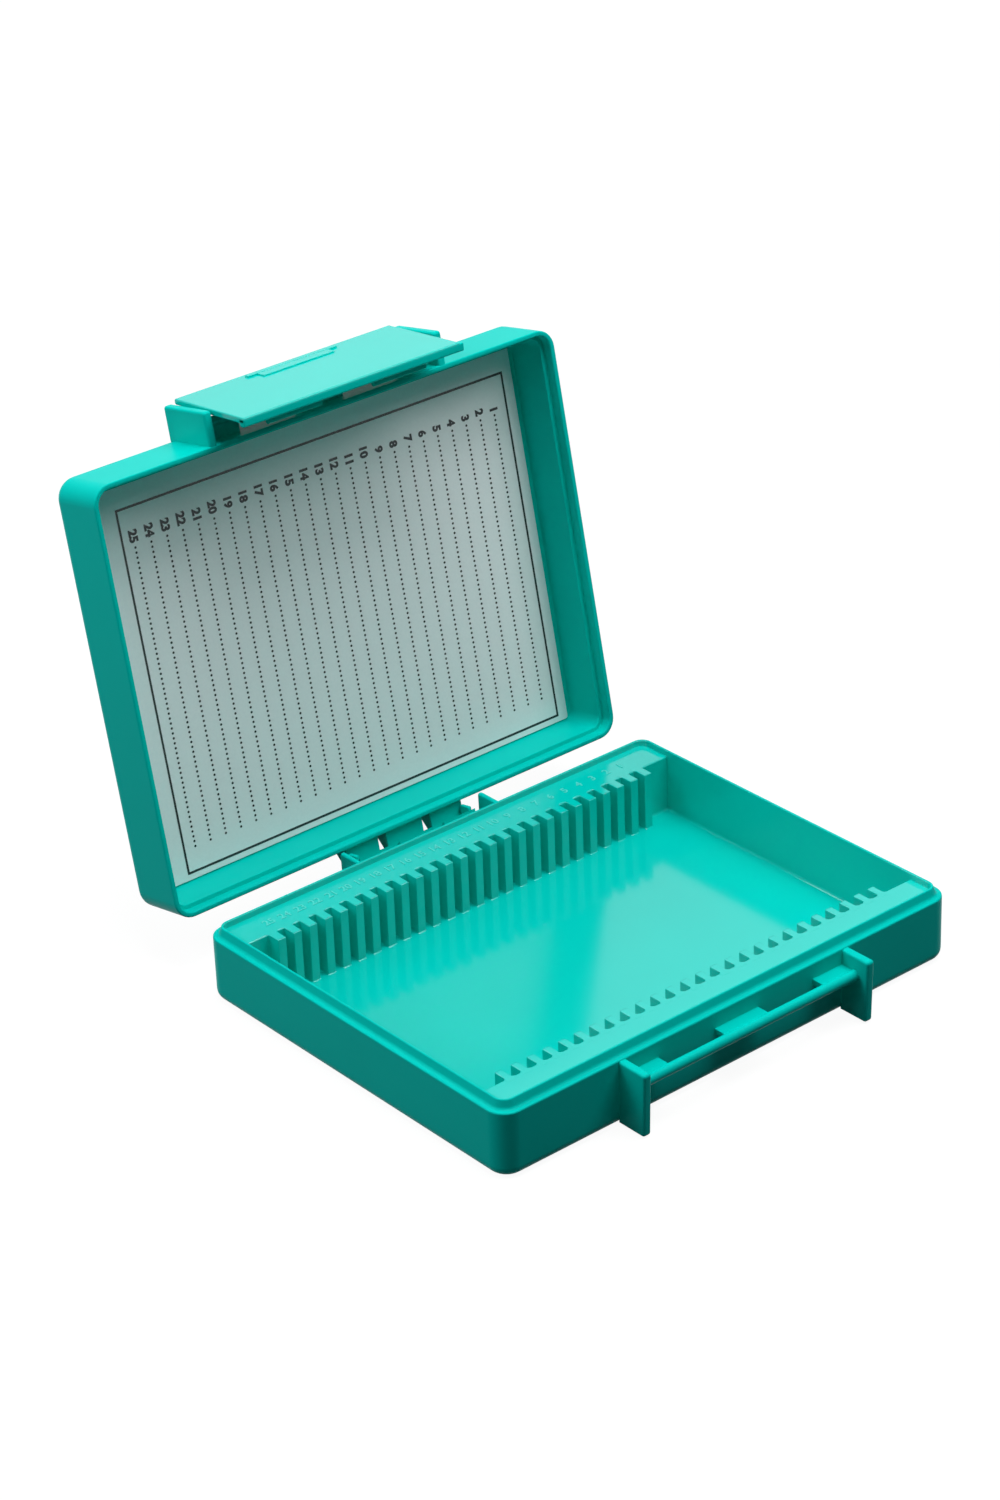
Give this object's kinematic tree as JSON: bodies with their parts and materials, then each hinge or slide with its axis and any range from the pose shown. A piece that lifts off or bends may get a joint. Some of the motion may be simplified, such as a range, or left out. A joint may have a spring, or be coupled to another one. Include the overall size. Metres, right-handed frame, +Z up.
{
  "type": "microscope slide box",
  "caption": "Flat hinged plastic box with slotted racks for microscope slides, a rocker latch that clips on a moulded rod, and a numbered index card in the lid.",
  "frame": {"origin": "centre of the base's flat underside", "axes": "+X to the right seen from the catch side, +Y from the catch to the hinge, +Z up"},
  "size_m": [0.1264, 0.1503, 0.1186],
  "materials": {
    "teal_abs": "satin moulded ABS",
    "card_stock": "uncoated printed card"
  },
  "bodies": {
    "base": {"base_tray": "teal_abs", "front_ribs": "teal_abs", "rear_ribs": "teal_abs"},
    "cover": {"lid": "teal_abs", "index_card": "card_stock"},
    "clasp": {"latch": "teal_abs"}
  },
  "joints": [
    {"name": "lid_hinge", "type": "hinge", "parent": "base", "child": "cover", "pos_m": [0, 0.0529, 0.0109], "axis": [1, 0, 0], "range_deg": [0, 101.25]},
    {"name": "latch_pivot", "type": "hinge", "parent": "cover", "child": "clasp", "pos_m": [0, 0.08247, 0.11289], "axis": [-1, 0, 0], "range_deg": [0, 35]}
  ]
}
